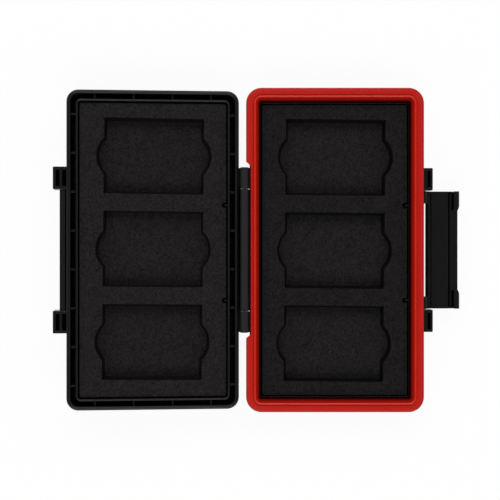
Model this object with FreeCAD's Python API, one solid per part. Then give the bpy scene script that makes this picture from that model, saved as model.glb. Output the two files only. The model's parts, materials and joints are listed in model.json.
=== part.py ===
import FreeCAD, Part
import math
import os

# An opened card case in millimetres. X runs across both halves, Y along the hinge, Z up.
# Zero is the middle of the base's underside. The lid lies open on the -X side.

# Card pockets and the foam around them
pocket_length = 38.7
pocket_width = 29.4
pocket_bridge = 6.9
pocket_count = 3
pocket_lean = 0.56
base_pocket_shift = -0.2
lid_pocket_shift = 0.35
lid_pocket_scale = 0.988
thumb_radius = 9.7
thumb_reach = 3.0
thumb_blend = 0.6
foam_side_margin = 8.9
foam_end_margin = 5.65
foam_clearance = 0.48
foam_corner = 0.8
tray_thickness = 4.4
base_backing_thickness = 3.0
base_foam_drop = 2.8
lid_foam_drop = 1.2
locator_spacing = 36.9
locator_shift = -1.1
locator_thickness = 0.6
locator_reach = 1.33
locator_below_foam = 0.8
locator_notch_width = 1.8

# Shell halves
shell_corner = 4.6
floor_thickness = 1.8
underside_round = 2.2
outer_wall = 1.55
channel_width = 2.0
inner_wall = 0.82
inner_corner = 2.0
channel_floor = 4.0
rim_outer_round = 0.85
rim_inner_round = 0.6
inner_wall_round = 0.36
panel_groove_inset = 9.0
panel_groove_width = 1.2
panel_groove_depth = 0.4

# Ribs across the rim channel
rib_pitch = 14.9
rib_thickness = 0.75
rib_depth_below_rim = 1.4
rib_corner_margin = 8.0

# Seal ring on the base rim
parting_gap = 0.1
flange_thickness = 1.3
flange_overhang = 1.35
flange_edge_round = 0.5
bead_width = 0.75
bead_height = 0.95
bead_inset = 2.08
seal_knee_inset = 3.6
seal_knee_drop = 0.55
seal_lip_inset = 4.25
seal_lip_drop = 2.0
seal_lip_gap = 0.2
root_depth = 3.3
root_clearance = 0.1
root_floor_gap = 0.3
inner_wall_drop = 1.8
hinge_setback = 0.45
setback_margin = 0.7
setback_slant = 1.2

# Hinge
hinge_offset = 2.05
lid_open_angle = 175.2
lid_table_gap = 0.02
barrel_radius = 1.55
barrel_half_length = 31.95
end_knuckle_length = 8.15
knuckle_gap = 0.2
hinge_web_height = 3.2
hinge_web_drop = 2.2
hinge_relief = 0.65
hinge_stop_top = 1.6
hinge_stop_gap = 0.05
hinge_rail_reach = 1.0
hinge_rail_drop = 2.6
hinge_rail_height = 3.0
hinge_ledge_reach = 0.6
hinge_ledge_drop = 4.2
hinge_ledge_height = 1.0
hinge_pin_radius = 0.75
hinge_pin_grip = 9.8
pin_end_inset = 0.2
pin_end_gap = 0.3
press_clearance = 0.01
running_clearance = 0.06

# Ears either side of the latch
ear_start = 23.2
ear_length = 8.7
ear_corner = 0.4
ear_edge_round = 0.25
ear_low = 4.0
base_ear_reach = 5.05
base_ear_drop = 0.6
base_recess_start = 2.9
base_recess_width = 1.25
lid_ear_reach = 5.1
lid_ear_drop = 0.1
lid_recess_width = 1.5
ear_outer_wall = 1.1
ear_divider = 0.95
ear_end_wall = 1.1
recess_depth = 5.0

# Catch bar on the lid
catch_reach = 2.6
catch_drop = 0.8
catch_low = 4.65
catch_round = 0.3
catch_rib_round = 0.3
catch_step_width = 1.15
catch_step_depth = 0.4
catch_groove_width = 0.4
catch_groove_depth = 1.2
snap_ridge_height = 0.45
snap_ridge_width = 0.6

# Latch, measured from its pivot while it lies open
pivot_reach = 2.05
pivot_drop = 2.8
latch_end_gap = 0.3
latch_panel_drop = 0.8
latch_thickness = 1.8
latch_inner_edge = 0.7
latch_ridge_start = 1.6
latch_ridge_width = 0.8
latch_ridge_rise = 0.3
latch_ridge_groove_width = 0.4
latch_ridge_groove_depth = 0.4
latch_tab_groove_width = 0.65
latch_tab_groove_depth = 1.1
latch_tab_length = 3.75
latch_tab_setback = 0.45
latch_tab_slope = 0.3
latch_tip_round = 0.45
hook_length = 7.6
hook_wall = 1.7
hook_rise = 1.5
hook_bite = 0.5
hook_clearance = 0.12
hook_slot_width = 0.9
hook_slot_depth = 1.5
hook_slot_end_wall = 0.4
hook_chamfer = 1.6
arm_length = 4.7
arm_barrel_radius = 1.1
arm_stop_gap = 0.1
latch_pin_radius = 0.6

# Overlap where two shapes of one piece are joined
weld = 0.3

foam_width = pocket_length + 2 * foam_side_margin
foam_length = pocket_count * pocket_width + (pocket_count - 1) * pocket_bridge + 2 * foam_end_margin
cavity_width = foam_width + 2 * foam_clearance
cavity_length = foam_length + 2 * foam_clearance
inner_face_inset = outer_wall + channel_width + inner_wall
shell_width = cavity_width + 2 * inner_face_inset
shell_length = cavity_length + 2 * inner_face_inset
half_depth = floor_thickness + base_backing_thickness + tray_thickness + base_foam_drop
hinge_x = -shell_width / 2 - hinge_offset
lid_middle_x = 2 * hinge_x
lid_lift = math.radians(180 - lid_open_angle)
# The lid is deep enough for its back edge to stand on the table beside the base while it is open
lid_edge_rise = (hinge_offset + underside_round) * math.sin(lid_lift) - lid_table_gap
lid_depth = underside_round + (half_depth - underside_round + lid_edge_rise) / math.cos(lid_lift)
lid_backing_thickness = lid_depth - lid_foam_drop - tray_thickness - floor_thickness
wall_x = shell_width / 2
base_rim = half_depth - parting_gap - flange_thickness
middle_knuckle_half = barrel_half_length - end_knuckle_length - knuckle_gap
pivot_x = wall_x + pivot_reach
pivot_height = base_rim - pivot_drop
latch_half_length = ear_start - latch_end_gap
hook_start = half_depth + lid_depth - catch_low - pivot_height
hook_end = hook_start + hook_wall
latch_tab_end = hook_end - latch_tab_setback
latch_tab_groove = latch_tab_end - latch_tab_length


def point(x, y, z):
    return FreeCAD.Vector(x, y, z)


def slab(width, length, radius, low, high):
    half_x = width / 2
    half_y = length / 2
    corner_x = half_x - radius
    corner_y = half_y - radius
    diagonal = radius * math.sqrt(0.5)
    edges = []
    for side_x, side_y in ((1, 1), (-1, 1), (-1, -1), (1, -1)):
        centre_x = side_x * corner_x
        centre_y = side_y * corner_y
        beside = point(centre_x + side_x * radius, centre_y, low)
        between = point(centre_x + side_x * diagonal, centre_y + side_y * diagonal, low)
        above = point(centre_x, centre_y + side_y * radius, low)
        edges.append(Part.Arc(beside, between, above).toShape())
    edges.append(Part.makeLine(point(corner_x, half_y, low), point(-corner_x, half_y, low)))
    edges.append(Part.makeLine(point(-half_x, corner_y, low), point(-half_x, -corner_y, low)))
    edges.append(Part.makeLine(point(-corner_x, -half_y, low), point(corner_x, -half_y, low)))
    edges.append(Part.makeLine(point(half_x, -corner_y, low), point(half_x, corner_y, low)))
    outline = Part.Wire(Part.__sortEdges__(edges))
    return Part.Face(outline).extrude(point(0, 0, high - low))


def inset_slab(inset, radius, low, high):
    return slab(shell_width - 2 * inset, shell_length - 2 * inset, radius, low, high)


def block(x_low, x_high, y_low, y_high, z_low, z_high):
    corner = point(x_low, y_low, z_low)
    return Part.makeBox(x_high - x_low, y_high - y_low, z_high - z_low, corner)


def bar(points, y_low, y_high):
    corners = [point(x, y_low, z) for x, z in points]
    outline = Part.makePolygon(corners + [corners[0]])
    return Part.Face(outline).extrude(point(0, y_high - y_low, 0))


def rod(x, z, radius, y_low, y_high):
    return Part.makeCylinder(radius, y_high - y_low, point(x, y_low, z), point(0, 1, 0))


def edges_at(shape, height):
    found = []
    for edge in shape.Edges:
        box = edge.BoundBox
        if abs(box.ZMin - height) < 1e-6 and abs(box.ZMax - height) < 1e-6:
            found.append(edge)
    return found


def both_ends(make):
    rear = make(1)
    front = make(-1)
    return [rear, front]


def span(side, near, far):
    return (near, far) if side > 0 else (-far, -near)


# Tub shared by both halves, rim up, zero at the middle of its underside
def make_tub(rim, inner_rim):
    tub = inset_slab(0, shell_corner, 0, rim)
    tub = tub.makeFillet(underside_round, edges_at(tub, 0))
    ring = inset_slab(outer_wall, shell_corner - outer_wall, channel_floor, rim + 1)
    island = inset_slab(outer_wall + channel_width, inner_corner, 0, rim + 2)
    cavity = inset_slab(inner_face_inset, inner_corner - inner_wall, floor_thickness, rim + 1)
    tub = tub.cut(ring.cut(island)).cut(cavity)
    if inner_rim < rim:
        opened = inset_slab(outer_wall + channel_width / 2, inner_corner, inner_rim, rim + 1)
        tub = tub.cut(opened)
    return tub.cut(make_panel_groove())


def make_panel_groove():
    outer = inset_slab(panel_groove_inset, shell_corner, -1, panel_groove_depth)
    middle_inset = panel_groove_inset + panel_groove_width
    middle = inset_slab(middle_inset, shell_corner - panel_groove_width, -2, panel_groove_depth + 1)
    return outer.cut(middle)


def rim_inset(edge):
    box = edge.BoundBox
    inset_x = wall_x - max(abs(box.XMin), abs(box.XMax))
    inset_y = shell_length / 2 - max(abs(box.YMin), abs(box.YMax))
    return min(inset_x, inset_y)


def round_rim(tub, rim):
    rounds = [(0, rim_outer_round), (outer_wall, rim_inner_round),
              (outer_wall + channel_width, inner_wall_round), (inner_face_inset, inner_wall_round)]
    for inset, radius in rounds:
        found = [edge for edge in edges_at(tub, rim) if abs(rim_inset(edge) - inset) < 1e-3]
        tub = tub.makeFillet(radius, found)
    return tub


def rib_places(side_length):
    count = int((side_length - 2 * rib_corner_margin) / rib_pitch) + 1
    return [(index - (count - 1) / 2) * rib_pitch for index in range(count)]


def make_channel_ribs(top):
    near = outer_wall - weld
    far = outer_wall + channel_width + weld
    low = channel_floor - weld
    half = rib_thickness / 2
    end_y = shell_length / 2
    ribs = []
    for y in rib_places(shell_length):
        ribs.append(block(wall_x - far, wall_x - near, y - half, y + half, low, top))
        ribs.append(block(near - wall_x, far - wall_x, y - half, y + half, low, top))
    for x in rib_places(shell_width):
        ribs.append(block(x - half, x + half, end_y - far, end_y - near, low, top))
        ribs.append(block(x - half, x + half, near - end_y, far - end_y, low, top))
    return ribs


def locator_places():
    return [locator_shift + side * locator_spacing / 2 for side in (1, -1)]


def make_locators(foam_top):
    face = cavity_width / 2
    half = locator_thickness / 2
    low = floor_thickness - weld
    top = foam_top - locator_below_foam
    ribs = []
    for y in locator_places():
        ribs.append(block(face - locator_reach, face + weld, y - half, y + half, low, top))
    return ribs


# Ear standing out from the +X wall, with its recesses open at the top
def make_ear(side, reach, top, recesses):
    y_low, y_high = span(side, ear_start, ear_start + ear_length)
    outer = wall_x + reach
    ear = block(wall_x - weld, outer, y_low, y_high, ear_low, top)
    uprights = []
    for edge in ear.Edges:
        box = edge.BoundBox
        if box.XMin > outer - 1e-6 and box.ZLength > 1:
            uprights.append(edge)
    ear = ear.makeFillet(ear_corner, uprights)
    rounded = [edge for edge in edges_at(ear, top) if edge.BoundBox.XMax > wall_x]
    ear = ear.makeFillet(ear_edge_round, rounded)
    for start, width in recesses:
        x_low = wall_x + start
        ear = ear.cut(block(x_low, x_low + width, y_low + ear_end_wall, y_high - ear_end_wall,
                            top - recess_depth, top + 1))
    return ear


# Plastic under a knuckle's barrel
def make_throat(x, axis_height, y_low, y_high):
    reach = barrel_radius * math.sqrt(0.5)
    return block(x - reach, x + reach, y_low, y_high, axis_height - hinge_web_height, axis_height - reach)


# Base half
def make_base_knuckle(side):
    y_low, y_high = span(side, barrel_half_length - end_knuckle_length, barrel_half_length)
    knuckle = rod(hinge_x, half_depth, barrel_radius, y_low, y_high)
    throat = make_throat(hinge_x, half_depth, y_low, y_high)
    web = block(hinge_x, weld - wall_x, y_low, y_high, half_depth - hinge_web_height, base_rim)
    bore = rod(hinge_x, half_depth, hinge_pin_radius + press_clearance, y_low - 1, y_high + 1)
    return knuckle.fuse([throat, web]).cut(bore)


# Ledge under the lid's middle knuckle, closing the slit beside its heel from below
def make_hinge_ledge():
    high = half_depth - hinge_ledge_drop
    return block(-wall_x - hinge_ledge_reach, weld - wall_x, -middle_knuckle_half, middle_knuckle_half,
                 high - hinge_ledge_height, high)


def make_base_ear(side):
    ear = make_ear(side, base_ear_reach, base_rim - base_ear_drop, [(base_recess_start, base_recess_width)])
    y_low, y_high = span(side, ear_start - 1, ear_start + ear_length + 1)
    return ear.cut(rod(pivot_x, pivot_height, latch_pin_radius + press_clearance, y_low, y_high))


def make_base_shell():
    tub = make_tub(base_rim, base_rim - inner_wall_drop)
    additions = make_channel_ribs(base_rim - root_depth - root_floor_gap)
    additions += make_locators(half_depth - base_foam_drop)
    additions += both_ends(make_base_knuckle)
    additions += both_ends(make_base_ear)
    additions.append(make_hinge_ledge())
    return tub.fuse(additions).removeSplitter()


# Seal section: inset from the shell's outer face, and height above the parting side of the flange
def make_seal_section(place):
    bead_radius = bead_width / 2
    bead_outer = bead_inset - bead_radius
    bead_inner = bead_inset + bead_radius
    shoulder = bead_height - bead_radius
    root_outer = outer_wall + root_clearance
    root_inner = outer_wall + channel_width - root_clearance
    root_low = -flange_thickness - root_depth
    lip_low = seal_lip_gap - inner_wall_drop - flange_thickness
    arc_inset = flange_edge_round * (1 - math.sqrt(0.5))
    edge = -flange_overhang
    corners = [(edge, -flange_edge_round), (edge + flange_edge_round, 0), (bead_outer, 0),
               (bead_outer, shoulder), (bead_inner, shoulder), (seal_knee_inset, -seal_knee_drop),
               (seal_lip_inset, -seal_lip_drop), (seal_lip_inset, lip_low), (root_inner, lip_low),
               (root_inner, root_low), (root_outer, root_low), (root_outer, -flange_thickness),
               (edge, -flange_thickness)]
    crowns = {0: (edge + arc_inset, -arc_inset), 3: (bead_inset, bead_height)}
    edges = []
    for index, corner in enumerate(corners):
        start = place(*corner)
        finish = place(*corners[(index + 1) % len(corners)])
        if index in crowns:
            edges.append(Part.Arc(start, place(*crowns[index]), finish).toShape())
        else:
            edges.append(Part.makeLine(start, finish))
    return Part.Face(Part.Wire(edges))


def make_seal():
    seat = half_depth - parting_gap
    half_y = shell_length / 2
    corner_x = wall_x - shell_corner
    corner_y = half_y - shell_corner
    across = make_seal_section(lambda inset, rise: point(wall_x - inset, -corner_y, seat + rise))
    along = make_seal_section(lambda inset, rise: point(-corner_x, half_y - inset, seat + rise))
    elbow = make_seal_section(lambda inset, rise: point(wall_x - inset, corner_y, seat + rise))
    side_run = across.extrude(point(0, 2 * corner_y, 0))
    end_run = along.extrude(point(2 * corner_x, 0, 0))
    turn = elbow.revolve(point(corner_x, corner_y, 0), point(0, 0, 1), 90)
    quarter = side_run.fuse([turn, end_run])
    opposite = quarter.copy()
    opposite.rotate(point(0, 0, 0), point(0, 0, 1), 180)
    second_turn = turn.mirror(point(0, 0, 0), point(1, 0, 0))
    third_turn = turn.mirror(point(0, 0, 0), point(0, 1, 0))
    ring = quarter.fuse([opposite, second_turn, third_turn])
    return ring.cut(make_seal_setback()).removeSplitter()


def make_seal_setback():
    inner = hinge_setback - wall_x
    outer = -wall_x - flange_overhang - 1
    half = barrel_half_length + setback_margin
    flare = setback_slant * (inner - outer) / flange_overhang
    low = base_rim - 1
    corners = [point(inner, -half, low), point(inner, half, low)]
    corners += [point(outer, half + flare, low), point(outer, -half - flare, low)]
    outline = Part.makePolygon(corners + [corners[0]])
    return Part.Face(outline).extrude(point(0, 0, half_depth + 1 - low))


# Foam, in the frame of its own tub
def make_foam_blank(low, high):
    blank = slab(foam_width, foam_length, foam_corner, low, high)
    radius = locator_notch_width / 2
    centre = cavity_width / 2 - locator_reach
    for y in locator_places():
        notch = Part.makeCylinder(radius, high - low + 2, point(centre, y, low - 1))
        throat = block(centre, cavity_width, y - radius, y + radius, low - 1, high + 1)
        blank = blank.cut(notch.fuse(throat))
    return blank


def make_pocket(y, scale, low, high):
    half_x = scale * pocket_length / 2
    half_y = scale * pocket_width / 2
    hollow = block(-half_x, half_x, y - half_y, y + half_y, low, high)
    radius = scale * thumb_radius
    centre = half_x + scale * thumb_reach - radius
    thumbs = []
    for side in (1, -1):
        thumbs.append(Part.makeCylinder(radius, high - low, point(side * centre, y, low)))
    hollow = hollow.fuse(thumbs).removeSplitter()
    necks = []
    for edge in hollow.Edges:
        box = edge.BoundBox
        if box.ZLength > 1 and abs(abs(box.XMax) - half_x) < 1e-3 and abs(box.YMax - y) < half_y - 1e-3:
            necks.append(edge)
    return hollow.makeFillet(thumb_blend, necks)


def make_foam_tray(low, scale, shift):
    high = low + tray_thickness
    pitch = scale * (pocket_width + pocket_bridge)
    tray = make_foam_blank(low, high)
    for index in range(pocket_count):
        y = (index - (pocket_count - 1) / 2) * pitch
        pocket = make_pocket(y, scale, low - 1, high + 1)
        pocket.rotate(point(0, 0, 0), point(0, 0, 1), -pocket_lean)
        pocket.translate(point(0, shift, 0))
        tray = tray.cut(pocket)
    return tray.removeSplitter()


# Lid half, built flat in the frame of its own tub and then turned up about the hinge
def place_lid(shape):
    placed = shape.copy()
    placed.translate(point(lid_middle_x, 0, half_depth - lid_depth))
    placed.rotate(point(hinge_x, 0, half_depth), point(0, 1, 0), math.degrees(lid_lift))
    return placed


def make_lid_ear(side):
    inner_width = lid_ear_reach - ear_outer_wall - lid_recess_width - ear_divider
    recesses = [(0, inner_width), (inner_width + ear_divider, lid_recess_width)]
    ear = make_ear(side, lid_ear_reach, lid_depth - lid_ear_drop, recesses)
    return ear.mirror(point(0, 0, 0), point(1, 0, 0))


def make_catch_bar():
    outer = -wall_x - catch_reach
    top = lid_depth - catch_drop
    step = top - catch_step_depth
    low = catch_low + snap_ridge_height
    half = ear_start + weld
    lip = block(outer, weld - wall_x, -half, half, low, step)
    lip_edge = [edge for edge in edges_at(lip, step) if edge.BoundBox.XMax < outer + 1e-6]
    lip = lip.makeFillet(catch_round, lip_edge)
    rib_outer = outer + catch_step_width
    rib = block(rib_outer, weld - wall_x, -half, half, low, top)
    rib_edge = [edge for edge in edges_at(rib, top) if edge.BoundBox.XMax < rib_outer + 1e-6]
    rib = rib.makeFillet(catch_rib_round, rib_edge)
    catch = lip.fuse(rib)
    groove = block(-wall_x - catch_groove_width, -wall_x, -ear_start, ear_start,
                   top - catch_groove_depth, top + 1)
    ridge = block(outer, outer + snap_ridge_width, -ear_start, ear_start, catch_low, low)
    return catch.cut(groove).fuse(ridge)


# The middle knuckle's heel meets the base's back wall and stops the lid short of lying flat
def make_lid_knuckle():
    half = middle_knuckle_half
    barrel_x = hinge_x - lid_middle_x
    low = lid_depth - hinge_web_height
    stop = hinge_offset - hinge_stop_gap
    heel_top = (stop + hinge_stop_top * math.sin(lid_lift)) / math.cos(lid_lift)
    heel_low = (stop + hinge_web_height * math.sin(lid_lift)) / math.cos(lid_lift)
    heel_high = lid_depth - hinge_stop_top
    knuckle = rod(barrel_x, lid_depth, barrel_radius, -half, half)
    web = block(wall_x - weld, barrel_x, -half, half, low, lid_depth - hinge_web_drop)
    heel = bar([(barrel_x, heel_high), (barrel_x + heel_top, heel_high),
                (barrel_x + heel_low, low), (barrel_x, low)], -half, half)
    throat = make_throat(barrel_x, lid_depth, -half, half)
    return knuckle.fuse([web, heel, throat])


# The wall is cut back beside the barrel, down to the web
def make_hinge_relief():
    half = barrel_half_length
    low = lid_depth - hinge_web_drop
    return block(wall_x - hinge_relief, wall_x + 1, -half, half, low, lid_depth + 1)


# Rail under each of the base's knuckles
def make_hinge_rail(side):
    y_low, y_high = span(side, middle_knuckle_half - weld, barrel_half_length)
    high = lid_depth - hinge_rail_drop
    return block(wall_x - weld, wall_x + hinge_rail_reach, y_low, y_high, high - hinge_rail_height, high)


# The pin bores are cut once the lid is in place, on the hinge's own axis
def make_lid_shell():
    tub = round_rim(make_tub(lid_depth, lid_depth), lid_depth).cut(make_hinge_relief())
    additions = make_channel_ribs(lid_depth - rib_depth_below_rim)
    additions += make_locators(lid_depth - lid_foam_drop)
    additions += both_ends(make_lid_ear)
    additions.append(make_catch_bar())
    additions.append(make_lid_knuckle())
    additions += both_ends(make_hinge_rail)
    shell = place_lid(tub.fuse(additions).removeSplitter())
    inner = middle_knuckle_half - hinge_pin_grip - pin_end_gap
    for side in (1, -1):
        y_low, y_high = span(side, inner, middle_knuckle_half + 1)
        shell = shell.cut(rod(hinge_x, half_depth, hinge_pin_radius + running_clearance, y_low, y_high))
    return shell


# Latch, with x measured out from the pivot and z up from it
def make_latch_body():
    top = -latch_panel_drop
    low = top - latch_thickness
    ridge_top = top + latch_ridge_rise
    ridge_end = latch_ridge_start + latch_ridge_width
    panel_start = ridge_end + latch_ridge_groove_width
    ridge_foot = top - latch_ridge_groove_depth
    groove_end = latch_tab_groove + latch_tab_groove_width
    groove_low = top - latch_tab_groove_depth
    points = [(latch_inner_edge, low), (latch_inner_edge, top - latch_thickness / 2),
              (latch_ridge_start, ridge_top), (ridge_end, ridge_top), (ridge_end, ridge_foot),
              (panel_start, ridge_foot), (panel_start, top), (latch_tab_groove, top),
              (latch_tab_groove, groove_low), (groove_end, groove_low), (groove_end, top),
              (latch_tab_end, top - latch_tab_slope), (latch_tab_end, low + latch_tip_round),
              (latch_tab_end - latch_tip_round, low)]
    return bar(points, -latch_half_length, latch_half_length)


def make_hook(side):
    top = -latch_panel_drop
    low = top - latch_thickness
    high = top + hook_rise
    tip_low = high - hook_bite
    bite = hook_start - snap_ridge_height + hook_clearance
    root = hook_start + hook_clearance
    y_low, y_high = span(side, latch_half_length - hook_length, latch_half_length)
    points = [(root, low + latch_tip_round), (root, tip_low), (bite, tip_low + hook_clearance),
              (bite, high), (hook_end - latch_tip_round, high), (hook_end, high - latch_tip_round),
              (hook_end, low + latch_tip_round)]
    hook = bar(points, y_low, y_high)
    inner = y_low if side > 0 else y_high
    far = inner + side * hook_chamfer
    corners = [point(hook_end - hook_chamfer / 2, inner, low), point(hook_end, far, low)]
    corners += [point(hook_end + 1, far, low), point(hook_end + 1, inner, low)]
    outline = Part.makePolygon(corners + [corners[0]])
    return hook.cut(Part.Face(outline).extrude(point(0, 0, high - low + 1)))


def make_hook_slot(side):
    top = -latch_panel_drop
    bite = hook_start - snap_ridge_height + hook_clearance
    inner = latch_half_length - hook_length + hook_slot_end_wall
    y_low, y_high = span(side, inner, latch_half_length + 1)
    return block(bite - hook_slot_width, bite, y_low, y_high, top - hook_slot_depth, top + 1)


# Each arm's heel meets the base wall and holds the open latch level
def make_latch_arm(side):
    low = -latch_panel_drop - latch_thickness
    ridge_top = latch_ridge_rise - latch_panel_drop
    heel = arm_stop_gap - pivot_reach
    shoulder = arm_barrel_radius * math.sqrt(0.5)
    y_low, y_high = span(side, latch_half_length - arm_length, latch_half_length)
    points = [(heel, low), (heel, low + latch_thickness / 2), (-shoulder, -shoulder), (shoulder, shoulder),
              (latch_ridge_start, ridge_top), (latch_ridge_start, low)]
    return bar(points, y_low, y_high).fuse(rod(0, 0, arm_barrel_radius, y_low, y_high))


def make_latch():
    flap = make_latch_body()
    for slot in both_ends(make_hook_slot):
        flap = flap.cut(slot)
    flap = flap.fuse(both_ends(make_hook) + both_ends(make_latch_arm))
    for side in (1, -1):
        y_low, y_high = span(side, latch_half_length - arm_length - 1, latch_half_length + 1)
        flap = flap.cut(rod(0, 0, latch_pin_radius + running_clearance, y_low, y_high))
    flap = flap.removeSplitter()
    flap.translate(point(pivot_x, 0, pivot_height))
    return flap


# Steel pins
def make_hinge_pin(side):
    y_low, y_high = span(side, middle_knuckle_half - hinge_pin_grip, barrel_half_length - pin_end_inset)
    return rod(hinge_x, half_depth, hinge_pin_radius, y_low, y_high)


def make_latch_pin(side):
    inner = latch_half_length - arm_length + pin_end_inset
    y_low, y_high = span(side, inner, ear_start + ear_length - pin_end_inset)
    return rod(pivot_x, pivot_height, latch_pin_radius, y_low, y_high)


base_backing_top = floor_thickness + base_backing_thickness
lid_backing_top = floor_thickness + lid_backing_thickness
pieces = {
    "base_shell": make_base_shell(),
    "rim_seal": make_seal(),
    "base_foam_backing": make_foam_blank(floor_thickness, base_backing_top),
    "base_foam_tray": make_foam_tray(base_backing_top, 1, base_pocket_shift),
    "lid_shell": make_lid_shell(),
    "lid_foam_backing": place_lid(make_foam_blank(floor_thickness, lid_backing_top)),
    "lid_foam_tray": place_lid(make_foam_tray(lid_backing_top, lid_pocket_scale, lid_pocket_shift)),
    "hinge_pin_rear": make_hinge_pin(1),
    "hinge_pin_front": make_hinge_pin(-1),
    "latch_flap": make_latch(),
    "latch_pin_rear": make_latch_pin(1),
    "latch_pin_front": make_latch_pin(-1),
}
os.makedirs("parts", exist_ok=True)
for name, shape in pieces.items():
    shape.exportStep("parts/" + name + ".step")
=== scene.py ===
import json
import math

import bmesh
import bpy
from mathutils import Matrix, Vector
from mathutils.geometry import delaunay_2d_cdt
from mathutils.kdtree import KDTree


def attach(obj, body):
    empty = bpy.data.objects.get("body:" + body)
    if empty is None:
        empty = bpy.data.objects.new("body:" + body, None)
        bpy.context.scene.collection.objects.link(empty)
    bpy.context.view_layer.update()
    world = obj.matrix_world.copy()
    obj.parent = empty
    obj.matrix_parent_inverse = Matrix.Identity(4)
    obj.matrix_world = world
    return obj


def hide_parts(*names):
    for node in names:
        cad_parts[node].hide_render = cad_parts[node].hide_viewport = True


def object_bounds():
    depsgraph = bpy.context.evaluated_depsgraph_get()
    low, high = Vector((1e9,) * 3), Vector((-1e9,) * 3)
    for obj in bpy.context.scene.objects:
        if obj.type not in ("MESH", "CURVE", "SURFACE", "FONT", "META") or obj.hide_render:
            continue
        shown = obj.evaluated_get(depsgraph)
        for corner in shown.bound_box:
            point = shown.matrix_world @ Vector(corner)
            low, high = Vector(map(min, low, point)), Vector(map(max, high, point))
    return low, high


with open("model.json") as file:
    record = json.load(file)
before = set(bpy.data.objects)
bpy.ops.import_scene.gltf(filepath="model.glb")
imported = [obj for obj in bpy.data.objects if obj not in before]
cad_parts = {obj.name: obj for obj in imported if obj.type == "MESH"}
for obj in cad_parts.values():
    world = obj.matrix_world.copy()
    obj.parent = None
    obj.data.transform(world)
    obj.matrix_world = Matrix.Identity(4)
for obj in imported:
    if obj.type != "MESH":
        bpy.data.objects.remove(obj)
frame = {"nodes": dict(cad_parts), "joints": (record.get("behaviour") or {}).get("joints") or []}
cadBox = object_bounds()
nodes = frame["nodes"]
mm = 0.001  # the scene is in metres, the settings below in millimetres
bevelSamples = 6    # rays that round an edge
shelterSamples = 8  # rays that tell how sheltered a spot is
hinge = next(j for j in frame["joints"] if j["name"] == "lid_hinge")
hingeAt = Vector(hinge["pos_m"])


def hexToLinear(code):
    shades = [int(code[i:i + 2], 16) / 255 for i in (1, 3, 5)]
    linear = [s / 12.92 if s <= 0.04045 else ((s + 0.055) / 1.055) ** 2.4 for s in shades]
    return (*linear, 1.0)


# a socket as an input is linked, anything else is set on the socket
def addNode(tree, kind, inputs=None, **settings):
    node = tree.nodes.new(kind)
    for name, value in settings.items():
        setattr(node, name, value)
    for name, value in (inputs or {}).items():
        if isinstance(value, bpy.types.NodeSocket):
            tree.links.new(value, node.inputs[name])
        else:
            node.inputs[name].default_value = value
    return node


def newMaterial(name):
    material = bpy.data.materials.new(name)
    material.use_nodes = True
    material.node_tree.nodes.clear()
    return material, material.node_tree


def perMetre(sizeMm):
    return 1 / (sizeMm * mm)


# ABS, injection moulded in a spark-eroded mould: black with a fine satin grain, edges a little paler
absPlastic = {
    "dark": "#151516",
    "light": "#1b1b1c",
    "cloud": 9.0,
    "cloudDetail": 3.0,
    "wearAndHighlight": "#1c1c1e",        # edges, worn by handling
    "edgeRound": 0.22,
    "edgeFacing": (0.99, 0.8),  # cosine between the rounded and the flat face, from plain to rubbed
    "barrel": "#1c1b1c",        # the hinge barrel is drawn paler than the rest of the shell
    "barrelEdge": (1.75, 1.6),  # radius, from plain to paler barrel
    "barrelRoughness": 0.6,
    "roughness": (0.2, 0.28),
    "ior": 1.54,
    "specular": 0.22,           # the grain scatters most of the gloss
    "grain": 0.35,              # real grain is nearer 0.1, drawn coarser so that it shows
    "grainDetail": 2.0,
    "grainRange": (0.3, 0.7),
    "grainDepth": 0.012,
    "grainStrength": 0.6,
    "paintedNookShade": "#030303",          # painted shade: deep channels and recesses are darkened by how sheltered they are
    "paintedShadeReach": 3.0,
    "paintedShadeRange": (0.56, 0.36),  # share of open sky, from plain to full painted shade
    "paintedShadeSpecular": 0.01,
}


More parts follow.
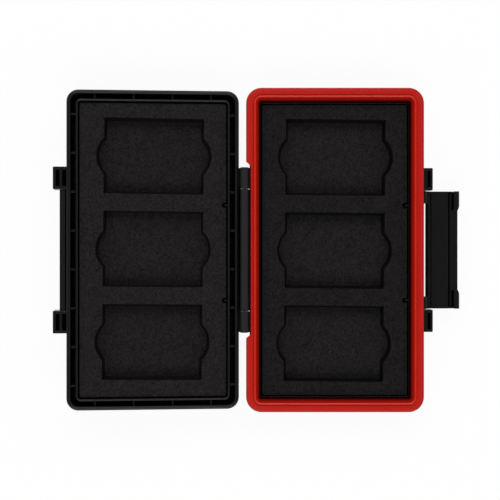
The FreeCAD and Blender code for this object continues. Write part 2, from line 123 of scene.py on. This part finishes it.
def makeAbs():
    material, tree = newMaterial("mouldedBlackAbs")
    where = addNode(tree, "ShaderNodeTexCoord").outputs["Object"]
    grain = addNode(tree, "ShaderNodeTexNoise",
                    {"Vector": where, "Scale": perMetre(absPlastic["grain"]),
                     "Detail": absPlastic["grainDetail"]})
    cloud = addNode(tree, "ShaderNodeTexNoise",
                    {"Vector": where, "Scale": perMetre(absPlastic["cloud"]),
                     "Detail": absPlastic["cloudDetail"]})
    tone = addNode(tree, "ShaderNodeMix",
                   {0: cloud.outputs["Fac"], 6: hexToLinear(absPlastic["dark"]),
                    7: hexToLinear(absPlastic["light"])}, data_type="RGBA")
    fromPin = addNode(tree, "ShaderNodeVectorMath", {0: where, 1: hingeAt}, operation="SUBTRACT")
    across = addNode(tree, "ShaderNodeVectorMath", {0: fromPin.outputs["Vector"], 1: (1.0, 0.0, 1.0)},
                     operation="MULTIPLY")
    radius = addNode(tree, "ShaderNodeVectorMath", {0: across.outputs["Vector"]}, operation="LENGTH")
    outside, inside = absPlastic["barrelEdge"]
    onBarrel = addNode(tree, "ShaderNodeMapRange",
                       {"Value": radius.outputs["Value"], "From Min": outside * mm,
                        "From Max": inside * mm})
    barrelTone = addNode(tree, "ShaderNodeMix",
                   {0: onBarrel.outputs["Result"], 6: tone.outputs[2],
                    7: hexToLinear(absPlastic["barrel"])}, data_type="RGBA")
    rounded = addNode(tree, "ShaderNodeBevel", {"Radius": absPlastic["edgeRound"] * mm},
                      samples=bevelSamples)
    flat = addNode(tree, "ShaderNodeNewGeometry")
    facing = addNode(tree, "ShaderNodeVectorMath",
                     {0: rounded.outputs["Normal"], 1: flat.outputs["Normal"]}, operation="DOT_PRODUCT")
    plain, worst = absPlastic["edgeFacing"]
    edge = addNode(tree, "ShaderNodeMapRange",
                   {"Value": facing.outputs["Value"], "From Min": plain, "From Max": worst})
    wearAndHighlight = addNode(tree, "ShaderNodeMix",
                     {0: edge.outputs["Result"], 6: barrelTone.outputs[2],
                      7: hexToLinear(absPlastic["wearAndHighlight"])}, data_type="RGBA")
    # painted shade in recesses: colour and gloss darken with how little open sky a spot sees
    room = addNode(tree, "ShaderNodeAmbientOcclusion", {"Distance": absPlastic["paintedShadeReach"] * mm},
                   samples=shelterSamples, only_local=True)
    wide, narrow = absPlastic["paintedShadeRange"]
    paintedNookShade = addNode(tree, "ShaderNodeMapRange",
                   {"Value": room.outputs["AO"], "From Min": wide, "From Max": narrow})
    colour = addNode(tree, "ShaderNodeMix",
                     {0: paintedNookShade.outputs["Result"], 6: wearAndHighlight.outputs[2],
                      7: hexToLinear(absPlastic["paintedNookShade"])}, data_type="RGBA")
    gloss = addNode(tree, "ShaderNodeMapRange",
                    {"Value": paintedNookShade.outputs["Result"], "To Min": absPlastic["specular"],
                     "To Max": absPlastic["paintedShadeSpecular"]})
    low, high = absPlastic["grainRange"]
    smooth, rough = absPlastic["roughness"]
    finish = addNode(tree, "ShaderNodeMapRange",
                     {"Value": grain.outputs["Fac"], "From Min": low, "From Max": high,
                      "To Min": smooth, "To Max": rough})
    matt = addNode(tree, "ShaderNodeMix",
                   {0: onBarrel.outputs["Result"], 2: finish.outputs["Result"],
                    3: absPlastic["barrelRoughness"]}, data_type="FLOAT")
    bump = addNode(tree, "ShaderNodeBump",
                   {"Height": grain.outputs["Fac"], "Distance": absPlastic["grainDepth"] * mm,
                    "Strength": absPlastic["grainStrength"], "Normal": rounded.outputs["Normal"]})
    shader = addNode(tree, "ShaderNodeBsdfPrincipled",
                     {"Base Color": colour.outputs[2], "Roughness": matt.outputs[0],
                      "IOR": absPlastic["ior"], "Specular IOR Level": gloss.outputs["Result"],
                      "Normal": bump.outputs["Normal"]})
    addNode(tree, "ShaderNodeOutputMaterial", {"Surface": shader.outputs["BSDF"]})
    return material


# silicone rubber, compression moulded: even red with a dusty satin skin and soft highlights, with a
# painted highlight along the bead's crest and painted shade down the slope inside it
silicone = {
    "deep": "#b5170c",
    "bright": "#c31d12",
    "cloud": 14.0,
    "cloudDetail": 4.0,
    "crest": "#cc2a1c",           # painted highlight along the top of the bead
    "crestHighlightSpan": (0.45, 0.1),     # below the top of the bead, from plain to painted highlight
    "slopeShade": "#200202",           # painted shade: the slope inside the bead is drawn deeper and darker towards its foot
    "slopeShadeSpan": (0.2, 1.95),     # below the top of the bead, from plain to darkest painted shade
    "slopeFacing": (0.92, 0.75),  # upward share of the face, from plain to slope
    "dullSpecular": 0.02,         # on steep faces, and where the bead shelters the flange beside it
    "shelterSize": 2.0,
    "shelterRange": (0.98, 0.62),
    "roughness": (0.26, 0.34),
    "ior": 1.41,
    "specular": 0.58,
    "skin": 0.4,                  # drawn coarser than the real moulding texture, so that it shows
    "skinDetail": 3.0,
    "skinRange": (0.3, 0.7),
    "skinDepth": 0.008,
    "skinStrength": 0.5,
    "edgeRound": 0.2,
}


def makeSilicone():
    material, tree = newMaterial("mouldedRedSilicone")
    coordinates = addNode(tree, "ShaderNodeTexCoord")
    where = coordinates.outputs["Object"]
    skin = addNode(tree, "ShaderNodeTexNoise",
                   {"Vector": where, "Scale": perMetre(silicone["skin"]),
                    "Detail": silicone["skinDetail"]})
    cloud = addNode(tree, "ShaderNodeTexNoise",
                    {"Vector": where, "Scale": perMetre(silicone["cloud"]),
                     "Detail": silicone["cloudDetail"]})
    tone = addNode(tree, "ShaderNodeMix",
                   {0: cloud.outputs["Fac"], 6: hexToLinear(silicone["deep"]),
                    7: hexToLinear(silicone["bright"])}, data_type="RGBA")
    crest = max(v.co.z for v in nodes["rim_seal"].data.vertices)
    height = addNode(tree, "ShaderNodeSeparateXYZ", {"Vector": where})
    below, above = silicone["crestHighlightSpan"]
    # painted highlight: the top of the bead is drawn brighter
    onCrestHighlight = addNode(tree, "ShaderNodeMapRange",
                      {"Value": height.outputs["Z"], "From Min": crest - below * mm,
                       "From Max": crest - above * mm})
    wearAndHighlight = addNode(tree, "ShaderNodeMix",
                     {0: onCrestHighlight.outputs["Result"], 6: tone.outputs[2],
                      7: hexToLinear(silicone["crest"])}, data_type="RGBA")
    # painted shade down the steep slope inside the bead, darkest at its foot
    start, foot = silicone["slopeShadeSpan"]
    depth = addNode(tree, "ShaderNodeMapRange",
                    {"Value": height.outputs["Z"], "From Min": crest - start * mm,
                     "From Max": crest - foot * mm})
    facing = addNode(tree, "ShaderNodeSeparateXYZ", {"Vector": coordinates.outputs["Normal"]})
    level, steep = silicone["slopeFacing"]
    turned = addNode(tree, "ShaderNodeMapRange",
                     {"Value": facing.outputs["Z"], "From Min": level, "From Max": steep})
    slopeShade = addNode(tree, "ShaderNodeMath", {0: depth.outputs["Result"], 1: turned.outputs["Result"]},
                    operation="MULTIPLY")
    colour = addNode(tree, "ShaderNodeMix",
                     {0: slopeShade.outputs["Value"], 6: wearAndHighlight.outputs[2],
                      7: hexToLinear(silicone["slopeShade"])}, data_type="RGBA")
    room = addNode(tree, "ShaderNodeAmbientOcclusion", {"Distance": silicone["shelterSize"] * mm},
                   samples=shelterSamples, only_local=True)
    wide, narrow = silicone["shelterRange"]
    sheltered = addNode(tree, "ShaderNodeMapRange",
                        {"Value": room.outputs["AO"], "From Min": wide, "From Max": narrow})
    dull = addNode(tree, "ShaderNodeMath", {0: turned.outputs["Result"], 1: sheltered.outputs["Result"]},
                   operation="MAXIMUM")
    gloss = addNode(tree, "ShaderNodeMapRange",
                    {"Value": dull.outputs["Value"], "To Min": silicone["specular"],
                     "To Max": silicone["dullSpecular"]})
    low, high = silicone["skinRange"]
    smooth, rough = silicone["roughness"]
    finish = addNode(tree, "ShaderNodeMapRange",
                     {"Value": skin.outputs["Fac"], "From Min": low, "From Max": high,
                      "To Min": smooth, "To Max": rough})
    rounded = addNode(tree, "ShaderNodeBevel", {"Radius": silicone["edgeRound"] * mm},
                      samples=bevelSamples)
    bump = addNode(tree, "ShaderNodeBump",
                   {"Height": skin.outputs["Fac"], "Distance": silicone["skinDepth"] * mm,
                    "Strength": silicone["skinStrength"], "Normal": rounded.outputs["Normal"]})
    shader = addNode(tree, "ShaderNodeBsdfPrincipled",
                     {"Base Color": colour.outputs[2], "Roughness": finish.outputs["Result"],
                      "IOR": silicone["ior"], "Specular IOR Level": gloss.outputs["Result"],
                      "Normal": bump.outputs["Normal"]})
    addNode(tree, "ShaderNodeOutputMaterial", {"Surface": shader.outputs["BSDF"]})
    return material


# EVA foam, closed cell, skived and die cut: flat black with open cells that speckle the cut face
evaFoam = {
    "lidTray": ("#0d0b0c", "#2e2b2c"),  # pit and skin, one sheet is a little paler than the next
    "baseTray": ("#0a0909", "#282627"),
    "backing": ("#0b0a0a", "#2c2929"),
    "roughness": 0.95,
    "specular": 0.06,
    "cell": 0.5,              # real cells are about 0.2, drawn coarser so that they show
    "cellDepth": 0.04,
    "cellStrength": 0.6,
    "cloud": 5.0,
    "cloudDetail": 6.0,
    "cloudShare": 0.3,
    "cutShade": 0.15,         # the blade-cut sides are darker: partly their open cells, partly painted shade
    "cutFacing": (0.4, 0.8),  # upright share of the face, from cut side to skin
}


def makeFoamMaterial(sheet):
    material, tree = newMaterial(sheet + "BlackEvaFoam")
    pit, skin = evaFoam[sheet]
    coordinates = addNode(tree, "ShaderNodeTexCoord")
    where = coordinates.outputs["Object"]
    cells = addNode(tree, "ShaderNodeTexVoronoi",
                    {"Vector": where, "Scale": perMetre(evaFoam["cell"])})
    cloud = addNode(tree, "ShaderNodeTexNoise",
                    {"Vector": where, "Scale": perMetre(evaFoam["cloud"]),
                     "Detail": evaFoam["cloudDetail"]})
    speck = addNode(tree, "ShaderNodeMix",
                    {0: evaFoam["cloudShare"], 2: cells.outputs["Color"], 3: cloud.outputs["Fac"]},
                    data_type="FLOAT")
    # upright cut faces are darkened: partly open cells, partly painted shade
    facing = addNode(tree, "ShaderNodeSeparateXYZ", {"Vector": coordinates.outputs["Normal"]})
    upright = addNode(tree, "ShaderNodeMath", {0: facing.outputs["Z"]}, operation="ABSOLUTE")
    steep, level = evaFoam["cutFacing"]
    shade = addNode(tree, "ShaderNodeMapRange",
                    {"Value": upright.outputs["Value"], "From Min": steep, "From Max": level,
                     "To Min": evaFoam["cutShade"]})
    tone = addNode(tree, "ShaderNodeMath", {0: speck.outputs[0], 1: shade.outputs["Result"]},
                   operation="MULTIPLY")
    colour = addNode(tree, "ShaderNodeMix",
                     {0: tone.outputs["Value"], 6: hexToLinear(pit), 7: hexToLinear(skin)},
                     data_type="RGBA")
    bump = addNode(tree, "ShaderNodeBump",
                   {"Height": cells.outputs["Distance"], "Distance": evaFoam["cellDepth"] * mm,
                    "Strength": evaFoam["cellStrength"]}, invert=True)
    shader = addNode(tree, "ShaderNodeBsdfPrincipled",
                     {"Base Color": colour.outputs[2], "Roughness": evaFoam["roughness"],
                      "Specular IOR Level": evaFoam["specular"], "Normal": bump.outputs["Normal"]})
    addNode(tree, "ShaderNodeOutputMaterial", {"Surface": shader.outputs["BSDF"]})
    return material


# stainless steel wire, drawn and cut: bright with fine lines along the pin
pinSteel = {
    "shade": "#b9b9b6",
    "bright": "#d2d2ce",
    "roughness": 0.32,
    "line": 0.08,
    "stretch": 0.04,  # of the pattern along the pin
}


def makeSteel():
    material, tree = newMaterial("drawnStainlessSteel")
    where = addNode(tree, "ShaderNodeTexCoord").outputs["Object"]
    stretched = addNode(tree, "ShaderNodeMapping",
                        {"Vector": where, "Scale": (1.0, pinSteel["stretch"], 1.0)})
    lines = addNode(tree, "ShaderNodeTexNoise",
                    {"Vector": stretched.outputs["Vector"], "Scale": perMetre(pinSteel["line"])})
    colour = addNode(tree, "ShaderNodeMix",
                     {0: lines.outputs["Fac"], 6: hexToLinear(pinSteel["shade"]),
                      7: hexToLinear(pinSteel["bright"])}, data_type="RGBA")
    shader = addNode(tree, "ShaderNodeBsdfPrincipled",
                     {"Base Color": colour.outputs[2], "Metallic": 1.0,
                      "Roughness": pinSteel["roughness"]})
    addNode(tree, "ShaderNodeOutputMaterial", {"Surface": shader.outputs["BSDF"]})
    return material


def dress(names, material):
    for name in names:
        nodes[name].data.materials.clear()
        nodes[name].data.materials.append(material)


dress(["base_shell", "lid_shell", "latch_flap"], makeAbs())
dress(["rim_seal"], makeSilicone())
dress(["hinge_pin_rear", "hinge_pin_front", "latch_pin_rear", "latch_pin_front"], makeSteel())
print("shells, seal, latch and pins have their finishes")

# die-cut foam trays and their backings
foamCut = {
    "pocketLength": 38.7,
    "pocketWidth": 29.4,
    "pocketPitch": 36.3,
    "pocketCount": 3,
    "scale": {"base": 1.0, "lid": 0.988},  # the two dies differ a little in size and place
    "shift": {"base": -0.2, "lid": 0.35},
    "pocketLean": -0.56,   # degrees, the die sat slightly askew
    "pocketCorner": 0.3,
    "thumbRadius": 9.7,
    "thumbReach": 3.0,
    "neckBlend": 0.6,
    "corner": 0.8,
    "notchPlaces": (-19.55, 17.35),
    "notchRadius": 0.9,
    "notchInset": 0.85,
    "cornerPoints": 5,
    "notchPoints": 13,
    "pocketCornerPoints": 4,
    "neckPoints": 5,
    "thumbPoints": 25,
    "pointGap": 1.6,       # along straight edges and over the sheet
    "edgeClear": 0.56,     # share of the gap that the sheet's points keep from its edges
    "sharpest": 0.5,       # limits how far a sharp corner runs out when an outline is offset
    "mergeWithin": 1e-5,
    "lip": 0.3,            # the blade drags the top edge down this far
    "lipCurve": ((1, 0), (0.45, 0.12), (0.12, 0.45), (0, 1)),  # shares of the lip, inwards and down
    "waist": 0.12,         # the cut face springs back hollow
    "waistCurve": ((0.3, 0.7), (0.5, 1.0), (0.7, 0.7)),  # share of the depth, share of the waist
    "slant": 0.8,          # and its foot stands in towards the pocket
    "sway": 0.03,
    "longWave": (0.31, 0.23, 1.3),   # radians per mm across and along, and its start
    "shortWave": (0.11, 0.47, 0.5),  # radians per mm across and along, and its share
}


def arc(centre, radius, start, end, count):
    angles = [math.radians(start + (end - start) * i / (count - 1)) for i in range(count)]
    return [Vector((centre[0] + radius * math.cos(a), centre[1] + radius * math.sin(a))) for a in angles]


# adds points along the straight runs of a closed outline
def evenOut(outline, gap):
    points = []
    for here, after in zip(outline, outline[1:] + outline[:1]):
        parts = max(1, math.ceil((after - here).length / gap))
        points += [here.lerp(after, i / parts) for i in range(parts)]
    return points


def blankOutline(halfX, halfY):
    r, count = foamCut["corner"], foamCut["cornerPoints"]
    notch = foamCut["notchRadius"]
    inner = halfX - foamCut["notchInset"]
    outline = arc((halfX - r, r - halfY), r, -90, 0, count)
    for y in foamCut["notchPlaces"]:
        outline.append(Vector((halfX, y - notch)))
        outline += arc((inner, y), notch, 270, 90, foamCut["notchPoints"])
        outline.append(Vector((halfX, y + notch)))
    outline += arc((halfX - r, halfY - r), r, 0, 90, count)
    outline += arc((r - halfX, halfY - r), r, 90, 180, count)
    outline += arc((r - halfX, r - halfY), r, 180, 270, count)
    return evenOut(outline, foamCut["pointGap"])


def pocketOutline(y, scale):
    halfX, halfY = foamCut["pocketLength"] / 2, foamCut["pocketWidth"] / 2
    big, neck, r = foamCut["thumbRadius"], foamCut["neckBlend"], foamCut["pocketCorner"]
    thumbX = halfX + foamCut["thumbReach"] - big
    neckX = halfX + neck
    neckY = math.sqrt((big + neck) ** 2 - (neckX - thumbX) ** 2)
    swing = math.degrees(math.asin(neckY / (big + neck)))
    cornerCount, neckCount = foamCut["pocketCornerPoints"], foamCut["neckPoints"]
    end = arc((halfX - r, r - halfY), r, -90, 0, cornerCount)
    end += arc((neckX, -neckY), neck, 180, 180 - swing, neckCount)
    end += arc((thumbX, 0), big, -swing, swing, foamCut["thumbPoints"])[1:-1]
    end += arc((neckX, neckY), neck, 180 + swing, 180, neckCount)
    end += arc((halfX - r, halfY - r), r, 0, 90, cornerCount)
    turn = Matrix.Rotation(math.radians(foamCut["pocketLean"]), 2)
    outline = [p * scale for p in end + [-p for p in end]]
    return [turn @ (p + Vector((0, y))) for p in evenOut(outline, foamCut["pointGap"])]


# points moved square to the outline, outwards for a positive distance
def offsetOutline(outline, distance):
    moved = []
    for i, here in enumerate(outline):
        before, after = outline[i - 1], outline[(i + 1) % len(outline)]
        one, two = (here - before).normalized(), (after - here).normalized()
        normal = Vector((one.y + two.y, -one.x - two.x)).normalized()
        spread = normal.dot(Vector((one.y, -one.x)))
        moved.append(here + normal * distance / max(foamCut["sharpest"], spread))
    return moved


def insideOutline(p, outline):
    inside = False
    for a, b in zip(outline, outline[1:] + outline[:1]):
        if (a.y > p.y) != (b.y > p.y) and p.x < a.x + (p.y - a.y) * (b.x - a.x) / (b.y - a.y):
            inside = not inside
    return inside


# wall rings from the top edge to the bottom edge: soft lip, hollow waist, crisp foot
def addWall(bm, outline, side, low, high, slant):
    lip, waist = foamCut["lip"], foamCut["waist"]
    tall = high - low
    profile = [(lip * inwards, lip * down) for inwards, down in foamCut["lipCurve"]]
    profile += [(waist * hollow - slant * down, tall * down) for down, hollow in foamCut["waistCurve"]]
    profile.append((-slant, tall))
    rings = []
    for inset, depth in profile:
        shape = offsetOutline(outline, -side * inset)
        rings.append([bm.verts.new((p.x, p.y, high - depth)) for p in shape])
    for upper, lower in zip(rings, rings[1:]):
        for i in range(len(upper)):
            j = (i + 1) % len(upper)
            bm.faces.new((upper[i], upper[j], lower[j], lower[i]))
    return rings[0], rings[-1]


def swayAt(x, y):
    across, along, start = foamCut["longWave"]
    shortAcross, shortAlong, share = foamCut["shortWave"]
    long = math.sin(x * across + start) * math.cos(y * along)
    short = share * math.sin(y * shortAlong + x * shortAcross)
    return foamCut["sway"] * (long + short)


# flat sheet between the outer ring and the pocket rings
def addSheet(bm, rings, height, sway):
    known = [v for ring in rings for v in ring]
    loops, edges, start = [], [], 0
    for ring in rings:
        count = len(ring)
        loops.append([Vector(v.co[:2]) for v in ring])
        edges += [(start + i, start + (i + 1) % count) for i in range(count)]
        start += count
    spots = [Vector(v.co[:2]) for v in known]
    edgePoints = KDTree(len(spots))
    for i, spot in enumerate(spots):
        edgePoints.insert(spot.to_3d(), i)
    edgePoints.balance()
    gap = foamCut["pointGap"]
    lows = [min(p[k] for p in loops[0]) for k in (0, 1)]
    highs = [max(p[k] for p in loops[0]) for k in (0, 1)]
    for i in range(1, int((highs[0] - lows[0]) / gap)):
        for j in range(1, int((highs[1] - lows[1]) / gap)):
            spot = Vector((lows[0] + i * gap, lows[1] + j * gap))
            if edgePoints.find(spot.to_3d())[2] > gap * foamCut["edgeClear"]:
                spots.append(spot)
    found, _, faces, origins, _, _ = delaunay_2d_cdt(spots, edges, [], 0, foamCut["mergeWithin"])
    made = {}
    for face in faces:
        middle = sum((found[i] for i in face), Vector((0, 0))) / len(face)
        inPocket = any(insideOutline(middle, loop) for loop in loops[1:])
        if inPocket or not insideOutline(middle, loops[0]):
            continue
        for i in face:
            first = min(origins[i]) if origins[i] else len(known)
            if i not in made:
                x, y = found[i]
                lift = sway * swayAt(x, y)
                made[i] = known[first] if first < len(known) else bm.verts.new((x, y, height + lift))
        if len({made[i] for i in face}) == len(face):
            bm.faces.new([made[i] for i in face])


def flatBox(node, place):
    back = place.inverted()
    corners = [back @ v.co for v in nodes[node].data.vertices]
    low = Vector([min(c[k] for c in corners) for k in range(3)])
    high = Vector([max(c[k] for c in corners) for k in range(3)])
    return low / mm, high / mm


def makeFoam(name, node, body, place, pockets, material):
    low, high = flatBox(node, place)
    middle = (low + high) / 2
    outline = blankOutline((high.x - low.x) / 2, (high.y - low.y) / 2)
    bm = bmesh.new()
    rings = [addWall(bm, outline, 1, low.z, high.z, 0)]
    for index in range(pockets):
        y = (index - (pockets - 1) / 2) * foamCut["pocketPitch"] * foamCut["scale"][body]
        shift = Vector((0, foamCut["shift"][body]))
        pocket = [p + shift for p in pocketOutline(y, foamCut["scale"][body])]
        rings.append(addWall(bm, pocket, -1, low.z, high.z, foamCut["slant"]))
    addSheet(bm, [top for top, bottom in rings], high.z, 1.0)
    addSheet(bm, [bottom for top, bottom in rings], low.z, 0.0)
    bmesh.ops.recalc_face_normals(bm, faces=bm.faces)
    scale = Matrix.Scale(mm, 4)
    bm.transform(place @ scale @ Matrix.Translation((middle.x, middle.y, 0)))
    mesh = bpy.data.meshes.new(name)
    bm.to_mesh(mesh)
    bm.free()
    mesh.shade_smooth()
    mesh.materials.append(material)
    piece = bpy.data.objects.new(name, mesh)
    bpy.context.scene.collection.objects.link(piece)
    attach(piece, body)
    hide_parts(node)


lidLift = math.radians(180 - max(hinge["range_deg"]))
basePlace = Matrix.Identity(4)
lidPlace = Matrix.Translation(hingeAt) @ Matrix.Rotation(lidLift, 4, "Y") @ Matrix.Translation(-hingeAt)
backingMaterial = makeFoamMaterial("backing")
for half, place in (("base", basePlace), ("lid", lidPlace)):
    trayMaterial = makeFoamMaterial(half + "Tray")
    makeFoam(half + "FoamTray", half + "_foam_tray", half, place, foamCut["pocketCount"], trayMaterial)
    makeFoam(half + "FoamBacking", half + "_foam_backing", half, place, 0, backingMaterial)
print("foam trays and backings are cut")

# white table in a ring of soft light that is dark overhead and stands higher to the rear and front
studio = {
    "tableSize": 40000.0,
    "tableColour": "#ffffff",
    "tableGlow": 0.93,          # share of plain white that the camera and reflections see
    "airColour": "#ffffff",
    "overhead": 0.016,
    "sides": 0.56,
    "ends": 2.0,
    "sidesTop": (0.66, 0.36),   # sine of the height, from full dark to full light
    "endsTop": (0.994, 0.95),
    "low": 0.24,
    "sidesFoot": (0.05, 0.25),  # sine of the height, from low light to full light
    "endsFoot": (0.4, 0.65),
    "horizon": (0.2, 0.1),      # sine of the height, from lit air to plain white
    "lampDistance": 735.0,
    "lampLength": 700.0,
    "lampDepth": 260.0,
    "lamps": {                  # degrees round from +X, degrees up, watts
        "rearLamp": (90, 48, 0.9),
        "frontLamp": (270, 50, 0.85),
        "rightLamp": (0, 20, 0.25),
        "leftLamp": (180, 40, 0.25),
    },
}


# 1 for what the camera, reflections and glass see, 0 for what only lights the object
def seenDirectly(tree):
    ray = addNode(tree, "ShaderNodeLightPath")
    seen = addNode(tree, "ShaderNodeMath",
                   {0: ray.outputs["Is Camera Ray"], 1: ray.outputs["Is Glossy Ray"]},
                   operation="MAXIMUM")
    shown = addNode(tree, "ShaderNodeMath",
                    {0: seen.outputs["Value"], 1: ray.outputs["Is Transmission Ray"]},
                    operation="MAXIMUM")
    return shown.outputs["Value"]


def makeTable():
    half = studio["tableSize"] * mm / 2
    mesh = bpy.data.meshes.new("table")
    mesh.from_pydata([(-half, -half, 0), (half, -half, 0), (half, half, 0), (-half, half, 0)], [],
                     [(0, 1, 2, 3)])
    table = bpy.data.objects.new("table", mesh)
    bpy.context.scene.collection.objects.link(table)
    material, tree = newMaterial("whiteTable")
    share = addNode(tree, "ShaderNodeMath", {0: seenDirectly(tree), 1: studio["tableGlow"]},
                    operation="MULTIPLY")
    paint = addNode(tree, "ShaderNodeBsdfDiffuse", {"Color": hexToLinear(studio["tableColour"])})
    white = addNode(tree, "ShaderNodeEmission", {"Strength": 1.0})
    mixed = addNode(tree, "ShaderNodeMixShader",
                    {0: share.outputs["Value"], 1: paint.outputs["BSDF"], 2: white.outputs["Emission"]})
    addNode(tree, "ShaderNodeOutputMaterial", {"Surface": mixed.outputs["Shader"]})
    mesh.materials.append(material)


def makeWorld():
    world = bpy.data.worlds.new("studioAir")
    bpy.context.scene.world = world
    world.use_nodes = True
    tree = world.node_tree
    tree.nodes.clear()
    where = addNode(tree, "ShaderNodeTexCoord").outputs["Generated"]
    axes = addNode(tree, "ShaderNodeSeparateXYZ", {"Vector": where})
    level = addNode(tree, "ShaderNodeVectorMath", {0: where, 1: (1.0, 1.0, 0.0)}, operation="MULTIPLY")
    around = addNode(tree, "ShaderNodeVectorMath", {0: level.outputs["Vector"]}, operation="NORMALIZE")
    turn = addNode(tree, "ShaderNodeSeparateXYZ", {"Vector": around.outputs["Vector"]})
    endShare = addNode(tree, "ShaderNodeMath", {0: turn.outputs["Y"], 1: turn.outputs["Y"]},
                       operation="MULTIPLY")
    cloth = addNode(tree, "ShaderNodeMapRange",
                    {"Value": endShare.outputs["Value"], "To Min": studio["sides"],
                     "To Max": studio["ends"]})
    foot, top = [], []
    for part, limits in (("Foot", foot), ("Top", top)):
        for side, end in zip(studio["sides" + part], studio["ends" + part]):
            limit = addNode(tree, "ShaderNodeMapRange",
                            {"Value": endShare.outputs["Value"], "To Min": side, "To Max": end})
            limits.append(limit.outputs["Result"])
    skirt = addNode(tree, "ShaderNodeMapRange",
                    {"Value": axes.outputs["Z"], "From Min": foot[0], "From Max": foot[1],
                     "To Min": studio["low"], "To Max": cloth.outputs["Result"]},
                    interpolation_type="SMOOTHSTEP")
    ring = addNode(tree, "ShaderNodeMapRange",
                   {"Value": axes.outputs["Z"], "From Min": top[0], "From Max": top[1],
                    "To Min": studio["overhead"], "To Max": skirt.outputs["Result"]},
                   interpolation_type="SMOOTHSTEP")
    lit, white = studio["horizon"]
    low = addNode(tree, "ShaderNodeMapRange",
                  {"Value": axes.outputs["Z"], "From Min": lit, "From Max": white,
                   "To Max": seenDirectly(tree)})
    glow = addNode(tree, "ShaderNodeMix",
                   {0: low.outputs["Result"], 2: ring.outputs["Result"], 3: 1.0}, data_type="FLOAT")
    air = addNode(tree, "ShaderNodeBackground",
                  {"Color": hexToLinear(studio["airColour"]), "Strength": glow.outputs[0]})
    addNode(tree, "ShaderNodeOutputWorld", {"Surface": air.outputs["Background"]})


def makeLamp(name, turn, rise, watts, aim):
    lamp = bpy.data.lights.new(name, "AREA")
    lamp.shape = "RECTANGLE"
    lamp.size = studio["lampLength"] * mm
    lamp.size_y = studio["lampDepth"] * mm
    lamp.energy = watts
    holder = bpy.data.objects.new(name, lamp)
    around = Matrix.Rotation(math.radians(turn + 90), 4, "Z")
    tilt = Matrix.Rotation(math.radians(90 - rise), 4, "X")
    back = Matrix.Translation((0, 0, studio["lampDistance"] * mm))
    holder.matrix_world = Matrix.Translation(aim) @ around @ tilt @ back
    bpy.context.scene.collection.objects.link(holder)


objectMiddle = (cadBox[0] + cadBox[1]) / 2
makeTable()
makeWorld()
for lampName, (turn, rise, watts) in studio["lamps"].items():
    makeLamp(lampName, turn, rise, watts, objectMiddle)
print("table, world and lamps are set")

# camera straight above, between the two halves
photoView = {
    "x": -32.96,
    "height": 442.0,
    "lens": 80.0,
    "sensor": 36.0,
}


def makeCamera():
    lens = bpy.data.cameras.new("camera")
    lens.lens = photoView["lens"]
    lens.sensor_width = photoView["sensor"]
    camera = bpy.data.objects.new("camera", lens)
    camera.location = Vector((photoView["x"], 0, photoView["height"])) * mm
    bpy.context.scene.collection.objects.link(camera)
    bpy.context.scene.camera = camera


makeCamera()
bpy.context.scene.view_settings.view_transform = "Standard"
